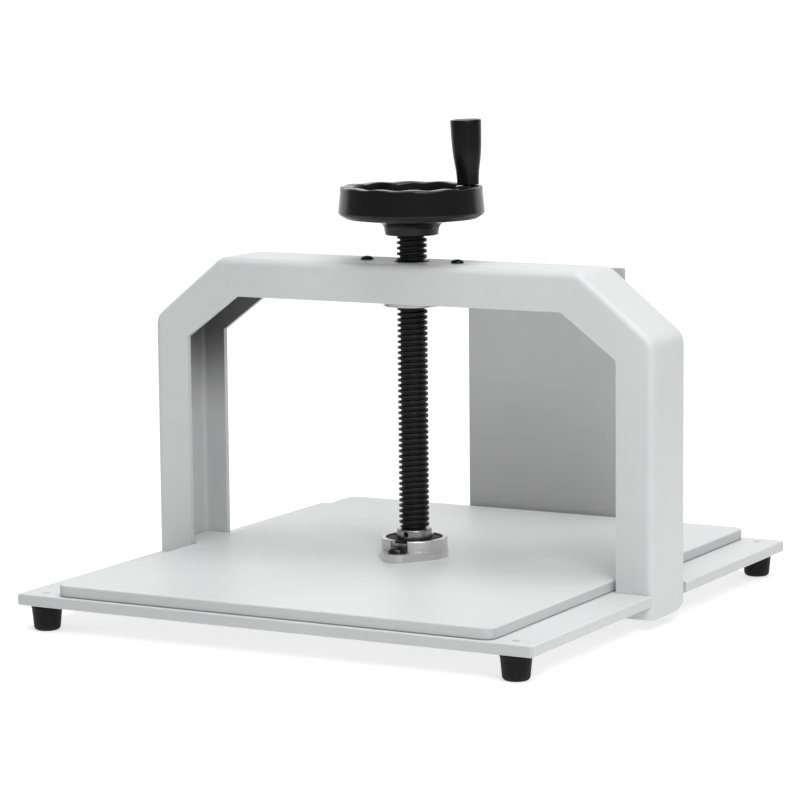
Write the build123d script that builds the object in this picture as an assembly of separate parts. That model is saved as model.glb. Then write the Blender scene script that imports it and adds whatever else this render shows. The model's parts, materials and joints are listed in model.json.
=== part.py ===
from build123d import *
import math
import os

# Document flattening press: a base plate on rubber feet, a gate frame of mitred steel channel
# standing through it, and a press plate that a trapezoidal screw with a handwheel lowers.
# Millimetres, +Z up. X runs along the gate's width and -Y is the front. The pieces are made about
# the gate's middle plane, then moved so that the origin is on the floor under the whole middle.

# Base plate and feet
base_x = 405.0
base_y = 430.0
base_t = 8.0
base_corner_r = 2.5
sheet_edge_r = 1.2
foot_h = 18.0
foot_top_d = 22.0
foot_low_d = 18.4
foot_edge_r = 3.0
foot_inset_x = 17.5
foot_inset_y = 12.0
foot_pocket_d = 9.6
foot_pocket_h = 7.0
foot_screw_d = 5.0
foot_screw_head_d = 10.0
foot_nut_af = 8.0
foot_nut_h = 4.0
foot_screw_past = 1.0

# Gate frame: channel open towards the middle, mitred at the knees
gate_proud = 1.0
channel_w = 28.5
channel_d = 56.0
channel_flange_t = 4.5
channel_web_t = 9.5
channel_bend_r = 3.5
channel_edge_r = 5.5
gate_inner_h = 195.3
knee_in_x = 42.5
knee_in_z = 31.8
knee_out_x = 57.3
knee_out_z = 46.0
knee_out_r = 13.5
column_below = 9.5
column_heel_r = 17.0
notch_fit = 0.3
notch_rear_gap = 3.5

# Tie bar under the base, between the two columns
tie_t = 8.0
tie_fit = 0.2
tie_screw_d = 6.0
tie_screw_head_d = 12.0
tie_screw_x_far = 150.0
tie_screw_x_near = 60.0

# Back panel on the base's rear edge
panel_w = 134.5
panel_x = 1.2
panel_t = 3.0
panel_top = 202.0
panel_screw_d = 4.0
panel_screw_head_d = 7.6
panel_screw_head_h = 2.2
panel_screw_l = 14.0
panel_screw_pitch = 50.0
panel_corner_r = 1.0

# Press plate with a guide tongue in each channel
plate_side_gap = 3.5
plate_end_gap = 3.5
plate_t = 8.0
plate_corner_r = 8.0
plate_rest_gap = 0.2
tongue_side_fit = 0.7
tongue_tip_gap = 1.0
tongue_corner_r = 2.0

# Lead screw
screw_share = 0.468
journal_d = 17.0
journal_edge = 0.5
thread_edge = 1.0
screw_top_gap = 1.0
wheel_seat_d = 16.0
screw_end_tap_d = 8.0
screw_end_tap_h = 22.0
running_fit = 0.1
press_fit = 0.02

# Trapezoidal nut and the carrier that holds it inside the beam
carrier_flange_x = 92.0
carrier_flange_t = 12.0
carrier_side_fit = 0.5
carrier_edge_r = 2.6
carrier_end_flat = 0.5
carrier_boss_gap = 2.5
carrier_below_beam = 3.4
nut_flange_wall = 2.0
nut_flange_step = 3.0
nut_flange_t = 4.0
nut_screw_d = 5.0
nut_screw_head_d = 9.5
nut_screw_head_h = 2.8
nut_screw_x = 37.0
nut_screw_l = 18.0
beam_hole_gap = 2.0

# Bearing housing on the press plate
housing_d = 49.6
housing_body_d = 48.6
housing_flange_h = 6.3
housing_rim_r = 0.8
ear_r = 10.5
ear_y = 26.0
recess_d = 42.0
recess_h = 2.1
lip_d = 28.2
lip_t = 2.0
bearing_d = 35.0
bearing_w = 10.0
bearing_inner_d = 22.0
bearing_outer_bore_d = 30.0
race_r = 2.6
ball_d = 4.6
ball_count = 8
ear_screw_d = 8.0
ear_screw_head_d = 14.0
ear_screw_head_h = 4.4
ear_screw_depth = 7.0
ear_screw_tip_gap = 0.5
ear_screw_socket_af = 5.0
ear_screw_socket_h = 2.4
ear_seat_d = 15.0
seal_t = 1.2
seal_gap = 0.4
collar_d = 25.6
collar_top = 20.2
collar_edge_r = 1.2
grub_d = 4.0
grub_inset = 0.6
grub_socket_af = 2.0
circlip_d = 24.0
circlip_t = 1.2
circlip_groove = 0.8
circlip_fit = 0.05
circlip_gap = 5.0
journal_below = 3.0
plate_pocket_d = 28.0
plate_pocket_h = 4.5

# Handwheel
wheel_d = 106.0
wheel_top_d = 103.0
wheel_top = 278.5
wheel_widest = 258.7
rim_low_r = 48.0
rim_low = 255.3
rim_inner_r = 42.0
rim_edge_r = 3.0
web_t = 7.0
web_low_r = 26.0
web_low = 252.6
hub_low_r = 19.3
hub_up_r = 20.3
hub_low = 243.2
hub_fillet_r = 6.0
hub_boss_r = 17.0
hub_top_below_rim = 10.5
ripple_count = 12
ripple_r = 15.0
ripple_depth_out = 0.6
ripple_depth_in = 0.9
handle_boss_r = 9.0
handle_boss_low = 259.3
wheel_draft = 1.0

# Hub insert, key and the screw that holds the wheel
insert_d = 26.0
insert_recess = 0.4
key_w = 5.0
key_l = 16.0
key_up = 4.0
wheel_washer_d = 24.0
wheel_washer_t = 2.0
wheel_screw_head_d = 13.0
wheel_screw_head_h = 4.4
wheel_screw_l = 18.0
wheel_screw_socket_af = 5.0
clear_hole = 0.6

# Revolving handle
handle_orbit_r = 41.0
handle_angle = 30.0
handle_lean = 1.9
grip_low_r = 7.9
grip_mid_r = 10.5
grip_top_r = 11.2
grip_mid_h = 26.0
grip_h = 46.8
grip_rest_gap = 0.3
grip_edge_r = 1.0
spindle_d = 8.0
spindle_head_d = 12.0
spindle_head_h = 3.0
spindle_thread_l = 12.0
spindle_collar_d = 11.0
spindle_collar_h = 2.0
cap_t = 2.0
cap_recess_d = 15.0
cap_edge_r = 0.4
cap_gap = 0.5
spindle_clear = 0.3

# Domed screw heads, as shares of the head's size, and how far a cutting tool runs past
button_rim_share = 0.25
button_shoulder_r = 0.3
button_shoulder_h = 0.83
cut_over = 1.0

# Levels and places worked out from the values above
base_top = foot_h + base_t
beam_low = base_top + gate_inner_h
beam_top = beam_low + channel_w
column_low = foot_h - column_below
gate_outer_x = base_x + 2 * gate_proud
gate_inner_x = gate_outer_x - 2 * channel_w
web_inner_x = gate_outer_x / 2 - channel_web_t
channel_inner_d = channel_d - 2 * channel_flange_t
beam_web_low = beam_top - channel_web_t
carrier_boss_d = channel_inner_d - 2 * carrier_boss_gap
nut_flange_d = carrier_boss_d - 2 * nut_flange_wall
nut_d = nut_flange_d - 2 * nut_flange_step
screw_d = screw_share * channel_inner_d
beam_hole_d = screw_d + 2 * beam_hole_gap
plate_x = gate_inner_x - 2 * plate_side_gap
plate_y = base_y - 2 * plate_end_gap
plate_low = base_top + plate_rest_gap
plate_up = plate_low + plate_t
foot_x = base_x / 2 - foot_inset_x
foot_y = base_y / 2 - foot_inset_y
knee_low = beam_low - knee_in_z
knee_out_low = beam_top - knee_out_z
bearing_low = plate_up
bearing_up = bearing_low + bearing_w
lip_up = bearing_up + lip_t
housing_up = lip_up + recess_h
collar_low = bearing_up
collar_up = plate_up + collar_top
hub_face = base_top + hub_low
rim_face = base_top + wheel_top
hub_face_up = rim_face - hub_top_below_rim
handle_x = handle_orbit_r * math.cos(math.radians(handle_angle))
handle_y = handle_orbit_r * math.sin(math.radians(handle_angle))
grip_low = rim_face + grip_rest_gap
grip_up = grip_low + grip_h
spindle_head_up = grip_up - cap_t - cap_gap
spindle_head_low = spindle_head_up - spindle_head_h
rear_reach = panel_t + panel_screw_head_h
middle_y = rear_reach / 2


def upright(diameter, low, high, x=0.0, y=0.0):
    """A round bar standing between two levels."""
    return Pos(x, y, (low + high) / 2) * Cylinder(diameter / 2, high - low)


def plate(x_size, y_size, low, high, corner_r):
    """A flat plate with rounded corners and softened edges, between two levels."""
    outline = RectangleRounded(x_size, y_size, corner_r)
    body = Pos(0, 0, low) * extrude(outline, high - low)
    flats = body.faces().sort_by(Axis.Z)
    return fillet(ShapeList(flats[0].edges() + flats[-1].edges()), sheet_edge_r)


def spun(points):
    """A solid turned about Z from an outline of (radius, height) points."""
    outline = make_face(Plane.XZ * Polyline(*points, close=True))
    return revolve(outline, Axis.Z)


def countersunk_screw(x, y, top, shank_d, head_d, length):
    """A flat-headed screw whose head is flush with the level top."""
    r = shank_d / 2
    cone_h = (head_d - shank_d) / 2
    body = spun([(0, top), (head_d / 2, top), (r, top - cone_h), (r, top - length), (0, top - length)])
    return Pos(x, y, 0) * body


def button_head(diameter, height):
    """A domed screw head standing on the XY plane."""
    rim = height * button_rim_share
    shoulder = (diameter * button_shoulder_r, height * button_shoulder_h)
    dome = ThreePointArc((0, height), shoulder, (diameter / 2, rim))
    edge = Polyline((diameter / 2, rim), (diameter / 2, 0), (0, 0), (0, height))
    return revolve(make_face(Plane.XZ * (dome + edge)), Axis.Z)


def hex_bar(across_flats, height):
    """A hexagonal bar standing on the XY plane."""
    return extrude(RegularPolygon(across_flats / 2, 6, major_radius=False), height)


def foot_places():
    """The four corners that carry a foot."""
    return [(sx * foot_x, sy * foot_y) for sx in (-1, 1) for sy in (-1, 1)]


def tie_screw_places():
    """The screws that hold the base down on the tie bar."""
    return [-tie_screw_x_far, -tie_screw_x_near, tie_screw_x_near, tie_screw_x_far]


def panel_screw_places():
    """The screws along the back panel's foot."""
    return [-panel_screw_pitch, 0.0, panel_screw_pitch]


def base_plate():
    """The bottom plate, notched on both sides for the columns."""
    body = plate(base_x, base_y, foot_h, base_top, base_corner_r)
    notch_in = gate_inner_x / 2 - notch_fit
    notch_front = -channel_d / 2 - notch_fit
    notch_rear = channel_d / 2 + notch_rear_gap
    notch_x = gate_outer_x / 2 - notch_in + notch_fit
    for side in (-1, 1):
        notch = Box(notch_x, notch_rear - notch_front, 3 * base_t)
        middle = notch_in + notch_x / 2
        body -= Pos(side * middle, (notch_front + notch_rear) / 2, base_top - base_t / 2) * notch
    for x, y in foot_places():
        body -= countersunk_screw(x, y, base_top, foot_screw_d + press_fit,
                                  foot_screw_head_d + press_fit, 3 * base_t)
    for x in tie_screw_places():
        body -= countersunk_screw(x, 0, base_top, tie_screw_d + press_fit,
                                  tie_screw_head_d + press_fit, 3 * base_t)
    rear = base_y / 2
    for x in panel_screw_places():
        hole = Cylinder((panel_screw_d + press_fit) / 2, 2 * panel_screw_l)
        body -= Pos(x, rear, base_top - base_t / 2) * Rot(90, 0, 0) * hole
    return body


def gate_outline():
    """The gate's outer outline in the XZ plane, with its knees rounded."""
    half = gate_outer_x / 2
    top_half = half - knee_out_x
    outline = Polyline(
        (-half, column_low),
        (-half, knee_out_low),
        (-top_half, beam_top),
        (top_half, beam_top),
        (half, knee_out_low),
        (half, column_low),
        close=True,
    )
    face = make_face(Plane.XZ * outline)
    knees = face.vertices().filter_by_position(Axis.Z, column_low + cut_over, beam_top + cut_over)
    return fillet(knees, knee_out_r)


def rounded_slab(face, depth, radius):
    """The outline as a slab centred on Y, rounded along its long edges but open at the foot."""
    slab = extrude(face, depth / 2, both=True)
    sides = slab.faces().sort_by(Axis.Y)
    edges = ShapeList(sides[0].edges() + sides[-1].edges())
    low = slab.bounding_box().min.Z
    edges = edges.filter_by(lambda e: e.center().Z > low + cut_over)
    return fillet(edges, radius)


def gate():
    """The whole welded gate before it is parted at the mitres."""
    outer = gate_outline()
    body = rounded_slab(outer, channel_d, channel_edge_r)
    inside = offset(outer, -channel_web_t, kind=Kind.INTERSECTION)
    hollow = rounded_slab(inside.faces()[0], channel_inner_d, channel_bend_r)
    half = gate_inner_x / 2
    opening = Polyline(
        (-half, column_low - cut_over),
        (-half, knee_low),
        (-half + knee_in_x, beam_low),
        (half - knee_in_x, beam_low),
        (half, knee_low),
        (half, column_low - cut_over),
        close=True,
    )
    body -= hollow
    body -= open_foot(hollow)
    body -= extrude(make_face(Plane.XZ * opening), channel_d, both=True)
    heel_y = channel_d / 2 - column_heel_r
    heel_z = column_low + column_heel_r
    corner = Pos(0, heel_y + column_heel_r, column_low) * Box(
        gate_outer_x + 2, 2 * column_heel_r, 2 * column_heel_r)
    roll = Pos(0, heel_y, heel_z) * Rot(0, 90, 0) * Cylinder(column_heel_r, gate_outer_x + 4)
    return body - (corner - roll)


def open_foot(hollow):
    """The channel's hollow carried down through the open ends of the columns."""
    width = gate_outer_x - 2 * channel_web_t
    depth = channel_inner_d
    block = Box(width, depth, 2 * channel_web_t)
    corners = block.edges().filter_by(Axis.Z)
    block = fillet(corners, channel_bend_r)
    return Pos(0, 0, column_low + channel_web_t - cut_over) * block


def mitre_plane(outer_x, outer_z, inner_x, inner_z):
    """The upright plane through a knee's outer and inner corner, facing the beam."""
    along = Vector(outer_x - inner_x, 0, outer_z - inner_z).normalized()
    normal = Vector(0, 1, 0).cross(along)
    if normal.X * inner_x > 0:
        normal = -normal
    return Plane(origin=(inner_x, 0, inner_z), z_dir=normal)


def gate_pieces():
    """The gate parted into its two columns, two knees and top beam."""
    whole = gate()
    pieces = {}
    half_out = gate_outer_x / 2
    half_in = gate_inner_x / 2
    beam = whole
    for side, name in ((-1, "left"), (1, "right")):
        low_cut = mitre_plane(side * half_out, knee_out_low, side * half_in, knee_low)
        up_cut = mitre_plane(
            side * (half_out - knee_out_x), beam_top, side * (half_in - knee_in_x), beam_low)
        half = split(whole, bisect_by=Plane(origin=(0, 0, 0), z_dir=(side, 0, 0)), keep=Keep.TOP)
        pieces[name + "_column"] = split(half, bisect_by=low_cut, keep=Keep.BOTTOM)
        rest = split(half, bisect_by=low_cut, keep=Keep.TOP)
        pieces[name + "_knee"] = split(rest, bisect_by=up_cut, keep=Keep.BOTTOM)
        beam = split(beam, bisect_by=up_cut, keep=Keep.TOP)
    beam -= upright(beam_hole_d, beam_web_low - cut_over, beam_top + cut_over)
    for x in (-nut_screw_x, nut_screw_x):
        beam -= upright(nut_screw_d + press_fit, beam_web_low - cut_over, beam_top + cut_over, x)
    pieces["top_beam"] = beam
    return pieces


def tie_bar():
    """The flat bar that joins the two columns under the base."""
    length = 2 * web_inner_x - 2 * tie_fit
    depth = channel_inner_d - 2 * tie_fit
    bar = RectangleRounded(length, depth, channel_bend_r)
    body = Pos(0, 0, foot_h - tie_t) * extrude(bar, tie_t)
    heel_y = channel_d / 2 - column_heel_r
    body &= Pos(0, heel_y - channel_d / 2, foot_h - tie_t / 2) * Box(gate_outer_x, channel_d, tie_t)
    for x in tie_screw_places():
        body -= upright(tie_screw_d + press_fit, foot_h - 2 * tie_t, foot_h + cut_over, x)
    return body


def tie_screws():
    """Flat-headed screws from the base's top into the tie bar."""
    length = base_t + tie_t
    return [countersunk_screw(x, 0, base_top, tie_screw_d, tie_screw_head_d, length)
            for x in tie_screw_places()]


def foot(x, y):
    """A tapered rubber foot with a rounded lower edge and a pocket for its nut."""
    outline = make_face(Plane.XZ * Polyline(
        (0, 0), (foot_low_d / 2, 0), (foot_top_d / 2, foot_h), (0, foot_h), close=True))
    lower = outline.vertices().filter_by_position(Axis.Z, -cut_over, cut_over).sort_by(Axis.X)[-1]
    body = revolve(fillet(lower, foot_edge_r), Axis.Z)
    body -= upright(foot_screw_d + 2 * press_fit, -cut_over, foot_h + cut_over)
    body -= upright(foot_pocket_d, -cut_over, foot_pocket_h)
    return Pos(x, y, 0) * body


def foot_screws():
    """Flat-headed screws from the base's top down through the feet."""
    tip = foot_pocket_h - foot_nut_h - foot_screw_past
    return [countersunk_screw(x, y, base_top, foot_screw_d, foot_screw_head_d, base_top - tip)
            for x, y in foot_places()]


def foot_nuts():
    """Hexagon nuts in the pockets under the feet."""
    nut = hex_bar(foot_nut_af, foot_nut_h)
    nut -= Cylinder((foot_screw_d + press_fit) / 2, 3 * foot_nut_h)
    return [Pos(x, y, foot_pocket_h - foot_nut_h) * nut for x, y in foot_places()]


def back_panel():
    """The upright stop along the rear edge of the base."""
    height = base_top + panel_top - foot_h
    body = Box(panel_w, panel_t, height)
    body = fillet(body.edges().filter_by(Axis.Y), panel_corner_r)
    body = Pos(panel_x, base_y / 2 + panel_t / 2, foot_h + height / 2) * body
    for x in panel_screw_places():
        hole = Cylinder((panel_screw_d + press_fit) / 2, 4 * panel_t)
        body -= Pos(x, base_y / 2, base_top - base_t / 2) * Rot(90, 0, 0) * hole
    return body


def panel_screws():
    """Button-headed screws through the back panel into the base's edge."""
    head = button_head(panel_screw_head_d, panel_screw_head_h)
    shank = Pos(0, 0, -panel_screw_l / 2) * Cylinder(panel_screw_d / 2, panel_screw_l)
    screw = head + shank
    rear = base_y / 2 + panel_t
    return [Pos(x, rear, base_top - base_t / 2) * Rot(-90, 0, 0) * screw for x in panel_screw_places()]


def nut_carrier():
    """The block inside the beam: a round-ended flange with a boss that reaches below the beam."""
    top = beam_web_low
    width = channel_inner_d - 2 * carrier_side_fit
    outline = RectangleRounded(carrier_flange_x, width, width / 2 - carrier_end_flat)
    body = Pos(0, 0, top - carrier_flange_t) * extrude(outline, carrier_flange_t)
    body = chamfer(body.faces().sort_by(Axis.Z)[-1].edges(), carrier_edge_r)
    low = beam_low - carrier_below_beam
    body += upright(carrier_boss_d, low, top - carrier_edge_r)
    body -= upright(nut_d + press_fit, low - cut_over, top + cut_over)
    body -= upright(nut_flange_d + press_fit, low - cut_over, low + nut_flange_t)
    for x in (-nut_screw_x, nut_screw_x):
        body -= upright(nut_screw_d + press_fit, top - carrier_flange_t - cut_over, top + cut_over, x)
    return body


def thread_nut():
    """The bronze nut, flanged below so that the press load drives it up against its carrier."""
    top = beam_web_low
    low = beam_low - carrier_below_beam
    body = upright(nut_d, low, top)
    body += upright(nut_flange_d, low, low + nut_flange_t)
    return body - upright(screw_d + 2 * running_fit, low - cut_over, top + cut_over)


def nut_screws():
    """Button-headed screws from the top of the beam into the carrier."""
    head = button_head(nut_screw_head_d, nut_screw_head_h)
    shank = Pos(0, 0, -nut_screw_l / 2) * Cylinder(nut_screw_d / 2, nut_screw_l)
    screw = head + shank
    return [Pos(x, 0, beam_top) * screw for x in (-nut_screw_x, nut_screw_x)]


def press_plate():
    """The pressing plate, with a tongue on each side that runs inside the column."""
    body = plate(plate_x, plate_y, plate_low, plate_up, plate_corner_r)
    tongue_x = 2 * (web_inner_x - tongue_tip_gap)
    tongue_y = channel_inner_d - 2 * tongue_side_fit
    body += plate(tongue_x, tongue_y, plate_low, plate_up, tongue_corner_r)
    body -= upright(plate_pocket_d, plate_up - plate_pocket_h, plate_up + cut_over)
    for y in (-ear_y, ear_y):
        body -= upright(ear_screw_d + press_fit, plate_up - ear_screw_depth, plate_up + cut_over, 0, y)
    return body


def housing_outline():
    """Two ears joined to the round body by straight flanks."""
    ears = [Pos(0, y) * Circle(ear_r) for y in (-ear_y, ear_y)]
    return make_hull((Circle(housing_d / 2) + ears).edges())


def bearing_housing():
    """The two-eared housing that ties the screw's foot to the press plate."""
    body = Pos(0, 0, plate_up) * extrude(housing_outline(), housing_flange_h)
    body += upright(housing_body_d, plate_up, housing_up)
    rim = body.edges().filter_by(GeomType.CIRCLE).sort_by(Axis.Z)[-1]
    body = fillet(rim, housing_rim_r)
    body -= upright(bearing_d, plate_up - cut_over, bearing_up)
    body -= upright(lip_d, plate_up, housing_up)
    body -= upright(recess_d, lip_up, housing_up + cut_over)
    seat = plate_up + housing_flange_h
    for y in (-ear_y, ear_y):
        body -= upright(ear_screw_d + press_fit, plate_up - cut_over, seat + cut_over, 0, y)
        body -= upright(ear_seat_d, seat, housing_up + cut_over, 0, y)
    return body


def housing_screws():
    """Button-headed screws through the ears into the press plate."""
    seat = plate_up + housing_flange_h
    length = seat - plate_up + ear_screw_depth - ear_screw_tip_gap
    screw = button_head(ear_screw_head_d, ear_screw_head_h)
    socket = hex_bar(ear_screw_socket_af, ear_screw_head_h)
    screw -= Pos(0, 0, ear_screw_head_h - ear_screw_socket_h) * socket
    screw += Pos(0, 0, -length / 2) * Cylinder(ear_screw_d / 2, length)
    return [Pos(0, y, seat) * screw for y in (-ear_y, ear_y)]


def dust_seal():
    """The rubber ring that closes the housing's recess around the collar."""
    body = upright(recess_d - press_fit, lip_up, lip_up + seal_t)
    return body - upright(collar_d + 2 * seal_gap, lip_up - cut_over, lip_up + seal_t + cut_over)


def race(bearing_r):
    """The groove that the balls run in, as a ring."""
    middle = (bearing_low + bearing_up) / 2
    circle = Pos(bearing_r, 0, middle) * Rot(90, 0, 0) * Circle(race_r)
    return revolve(circle, Axis.Z)


def bearing_outer_ring():
    """The bearing's outer ring, held between the housing's lip and the press plate."""
    body = upright(bearing_d - press_fit, bearing_low, bearing_up)
    body -= upright(bearing_outer_bore_d, bearing_low - cut_over, bearing_up + cut_over)
    return body - race((bearing_inner_d + bearing_outer_bore_d) / 4)


def bearing_inner_ring():
    """The bearing's inner ring, turning with the screw."""
    body = upright(bearing_inner_d, bearing_low, bearing_up)
    body -= upright(journal_d + press_fit, bearing_low - cut_over, bearing_up + cut_over)
    return body - race((bearing_inner_d + bearing_outer_bore_d) / 4)


def bearing_balls():
    """The ring of balls between the two races."""
    orbit = (bearing_inner_d + bearing_outer_bore_d) / 4
    middle = (bearing_low + bearing_up) / 2
    return [loc * Sphere(ball_d / 2) for loc in
            [Pos(0, 0, middle) * place for place in PolarLocations(orbit, ball_count)]]


def lead_screw():
    """The screw: journal at the foot, threaded length, and the seat for the wheel."""
    low = bearing_low - journal_below
    groove_up = bearing_low
    groove_low = groove_up - circlip_t
    r = journal_d / 2
    groove_r = r - circlip_groove
    seat_r = wheel_seat_d / 2
    top = hub_face_up - screw_top_gap
    thread_r = screw_d / 2
    body = spun([
        (0, low), (r - journal_edge, low), (r, low + journal_edge), (r, groove_low),
        (groove_r, groove_low), (groove_r, groove_up), (r, groove_up), (r, collar_up),
        (thread_r - thread_edge, collar_up), (thread_r, collar_up + thread_edge),
        (thread_r, hub_face - thread_edge), (thread_r - thread_edge, hub_face),
        (seat_r, hub_face), (seat_r, top), (0, top),
    ])
    body -= upright(screw_end_tap_d + press_fit, top - screw_end_tap_h, top + cut_over)
    return body - key_block(press_fit)


def journal_collar():
    """The collar locked on the journal above the bearing."""
    body = upright(collar_d, collar_low, collar_up)
    body = fillet(body.faces().sort_by(Axis.Z)[-1].edges(), collar_edge_r)
    body -= upright(journal_d + press_fit, collar_low - cut_over, collar_up + cut_over)
    return body - grub_bar(grub_d + press_fit, collar_d)


def grub_height():
    """The level of the collar's locking screw."""
    return (housing_up + collar_up) / 2


def grub_bar(diameter, reach):
    """A bar that points out of the collar to the front."""
    middle = journal_d / 2 + reach / 2
    return Pos(0, -middle, grub_height()) * Rot(90, 0, 0) * Cylinder(diameter / 2, reach)


def collar_grub_screw():
    """The headless screw that locks the collar."""
    length = (collar_d - journal_d) / 2 - grub_inset
    body = grub_bar(grub_d, length)
    socket = hex_bar(grub_socket_af, length)
    face_y = -journal_d / 2 - length / 2
    return body - Pos(0, face_y, grub_height()) * Rot(90, 0, 0) * socket


def journal_circlip():
    """The open ring that keeps the screw from lifting out of its bearing."""
    up = bearing_low - circlip_fit
    ring = upright(circlip_d, up - circlip_t + 2 * circlip_fit, up)
    ring -= upright(journal_d - 2 * circlip_groove, up - 2 * circlip_t, up + cut_over)
    gap = Box(circlip_d, circlip_gap, 4 * circlip_t)
    return ring - Pos(circlip_d / 2, 0, up) * gap


def wheel_outline():
    """Half of the handwheel's section, from the hub's foot up the rim and back over the web."""
    bore_r = insert_d / 2 + press_fit
    low = base_top
    rim_r = wheel_d / 2
    top_r = wheel_top_d / 2
    web_rise = (rim_low - web_low) / (rim_low_r - web_low_r)
    web_top_in = low + web_low + web_t
    web_top_out = web_top_in + web_rise * (rim_inner_r - hub_boss_r)
    return Polyline(
        (bore_r, hub_face),
        (hub_low_r, hub_face),
        (hub_up_r, low + web_low - web_rise * (web_low_r - hub_up_r)),
        (rim_low_r, low + rim_low),
        (rim_r, low + wheel_widest),
        (top_r, rim_face),
        (rim_inner_r, rim_face),
        (rim_inner_r - wheel_draft, web_top_out),
        (hub_boss_r + wheel_draft, web_top_in),
        (hub_boss_r, hub_face_up),
        (bore_r, hub_face_up),
        close=True,
    )


def handwheel():
    """The dished wheel: rippled rim, thin web, tapered hub and a boss for the handle."""
    outline = make_face(Plane.XZ * wheel_outline())
    corners = outline.vertices()
    throat = corners.sort_by_distance((hub_up_r, 0, base_top + web_low))[0]
    outline = fillet(throat, hub_fillet_r)
    for radius, height, size in (
        (wheel_d / 2, base_top + wheel_widest, rim_edge_r),
        (rim_low_r, base_top + rim_low, rim_edge_r),
        (wheel_top_d / 2, rim_face, rim_edge_r / 1.5),
        (rim_inner_r, rim_face, rim_edge_r / 1.5),
        (rim_inner_r - wheel_draft, base_top + web_low + web_t + 3, rim_edge_r),
        (hub_boss_r + wheel_draft, base_top + web_low + web_t, rim_edge_r),
        (hub_low_r, hub_face, rim_edge_r / 3),
    ):
        corner = outline.vertices().sort_by_distance((radius, 0, height))[0]
        outline = fillet(corner, size)
    body = revolve(outline, Axis.Z)
    boss = upright(2 * handle_boss_r, base_top + handle_boss_low, rim_face - ripple_depth_out,
                   handle_x, handle_y)
    body += boss
    body -= ripples()
    body += boss
    hole = upright(spindle_d + press_fit, rim_face - spindle_thread_l, rim_face + cut_over)
    return body - on_handle(hole)


def ripples():
    """Finger grooves across the rim's top, deeper towards the inside."""
    outer_r = wheel_top_d / 2
    run = outer_r - rim_inner_r
    lean = math.degrees(math.atan2(ripple_depth_in - ripple_depth_out, run))
    mid_r = (outer_r + rim_inner_r) / 2
    depth = (ripple_depth_in + ripple_depth_out) / 2
    bar = Rot(0, 90 - lean, 0) * Cylinder(ripple_r, 3 * run)
    groove = Pos(mid_r, 0, rim_face - depth + ripple_r) * bar
    step = 360.0 / ripple_count
    return [Rot(0, 0, handle_angle + (k + 0.5) * step) * groove for k in range(ripple_count)]


def hub_insert():
    """The steel bush moulded into the wheel's hub."""
    body = upright(insert_d, hub_face + insert_recess, hub_face_up)
    body -= upright(wheel_seat_d + press_fit, hub_face - cut_over, hub_face_up + cut_over)
    return body - key_block(press_fit)


def key_block(clearance):
    """The key's block, grown by a clearance on every side."""
    low = hub_face + key_up
    size = key_w + clearance
    middle = wheel_seat_d / 2
    block = Box(size, size, key_l + clearance)
    return Pos(0, middle, low + key_l / 2) * block


def wheel_key():
    """The key between the screw and the hub insert."""
    return key_block(0)


def wheel_washer():
    """The washer over the hub."""
    body = upright(wheel_washer_d, hub_face_up, hub_face_up + wheel_washer_t)
    bore = screw_end_tap_d + clear_hole
    return body - upright(bore, hub_face_up - cut_over, hub_face_up + 2 * wheel_washer_t)


def wheel_screw():
    """The button-headed screw in the end of the lead screw."""
    head = button_head(wheel_screw_head_d, wheel_screw_head_h)
    socket = hex_bar(wheel_screw_socket_af, wheel_screw_head_h)
    head -= Pos(0, 0, wheel_screw_head_h / 2) * socket
    shank = Pos(0, 0, -wheel_screw_l / 2) * Cylinder(screw_end_tap_d / 2, wheel_screw_l)
    return Pos(0, 0, hub_face_up + wheel_washer_t) * (head + shank)


def on_handle(body):
    """Stands a piece made about Z on the rim, leaning a little towards the wheel's middle."""
    lean = Pos(0, 0, rim_face) * Rot(0, -handle_lean, 0) * Pos(0, 0, -rim_face)
    return Rot(0, 0, handle_angle) * Pos(handle_orbit_r, 0, 0) * lean * body


def handle_spindle():
    """The fixed pin of the handle: thread in the rim, collar, shank and head."""
    r = spindle_d / 2
    collar_r = spindle_collar_d / 2
    collar_top_z = rim_face + spindle_collar_h
    head_r = spindle_head_d / 2
    tip = rim_face - spindle_thread_l + ear_screw_tip_gap
    body = spun([
        (0, tip), (r, tip), (r, rim_face), (collar_r, rim_face), (collar_r, collar_top_z),
        (r, collar_top_z), (r, spindle_head_low), (head_r, spindle_head_low),
        (head_r, spindle_head_up), (0, spindle_head_up),
    ])
    return on_handle(body)


def handle_grip():
    """The tapered sleeve that spins on the spindle."""
    side = Spline(
        (grip_low_r, grip_low), (grip_mid_r, grip_low + grip_mid_h), (grip_top_r, grip_up),
        tangents=((0.02, 1), (0.0, 1)),
    )
    rest = Polyline((grip_top_r, grip_up), (0, grip_up), (0, grip_low), (grip_low_r, grip_low))
    outline = make_face(Plane.XZ * (side + rest))
    body = revolve(outline, Axis.Z)
    rims = body.edges().filter_by(GeomType.CIRCLE).sort_by(Axis.Z)
    body = fillet(rims[-1], grip_edge_r)
    wide = 2 * spindle_clear
    body -= upright(spindle_d + 2 * running_fit, grip_low - cut_over, grip_up + cut_over)
    collar_room = rim_face + spindle_collar_h + spindle_clear
    body -= upright(spindle_collar_d + wide, grip_low - cut_over, collar_room)
    body -= upright(spindle_head_d + wide, spindle_head_low - spindle_clear, grip_up + cut_over)
    body -= upright(cap_recess_d + press_fit, grip_up - cap_t, grip_up + cut_over)
    return on_handle(body)


def grip_cap():
    """The cap pressed into the grip's top."""
    body = upright(cap_recess_d, grip_up - cap_t, grip_up)
    body = fillet(body.faces().sort_by(Axis.Z)[-1].edges(), cap_edge_r)
    return on_handle(body)


def write(name, shape):
    """Write one node, or a group of like pieces, to its own file."""
    solids = [piece.solid() for piece in shape] if isinstance(shape, list) else shape.solids()
    placed = [Pos(0, -middle_y, 0) * solid for solid in solids]
    group = Compound(children=placed) if len(placed) > 1 else placed[0]
    export_step(group, os.path.join("parts", name + ".step"))


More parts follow.
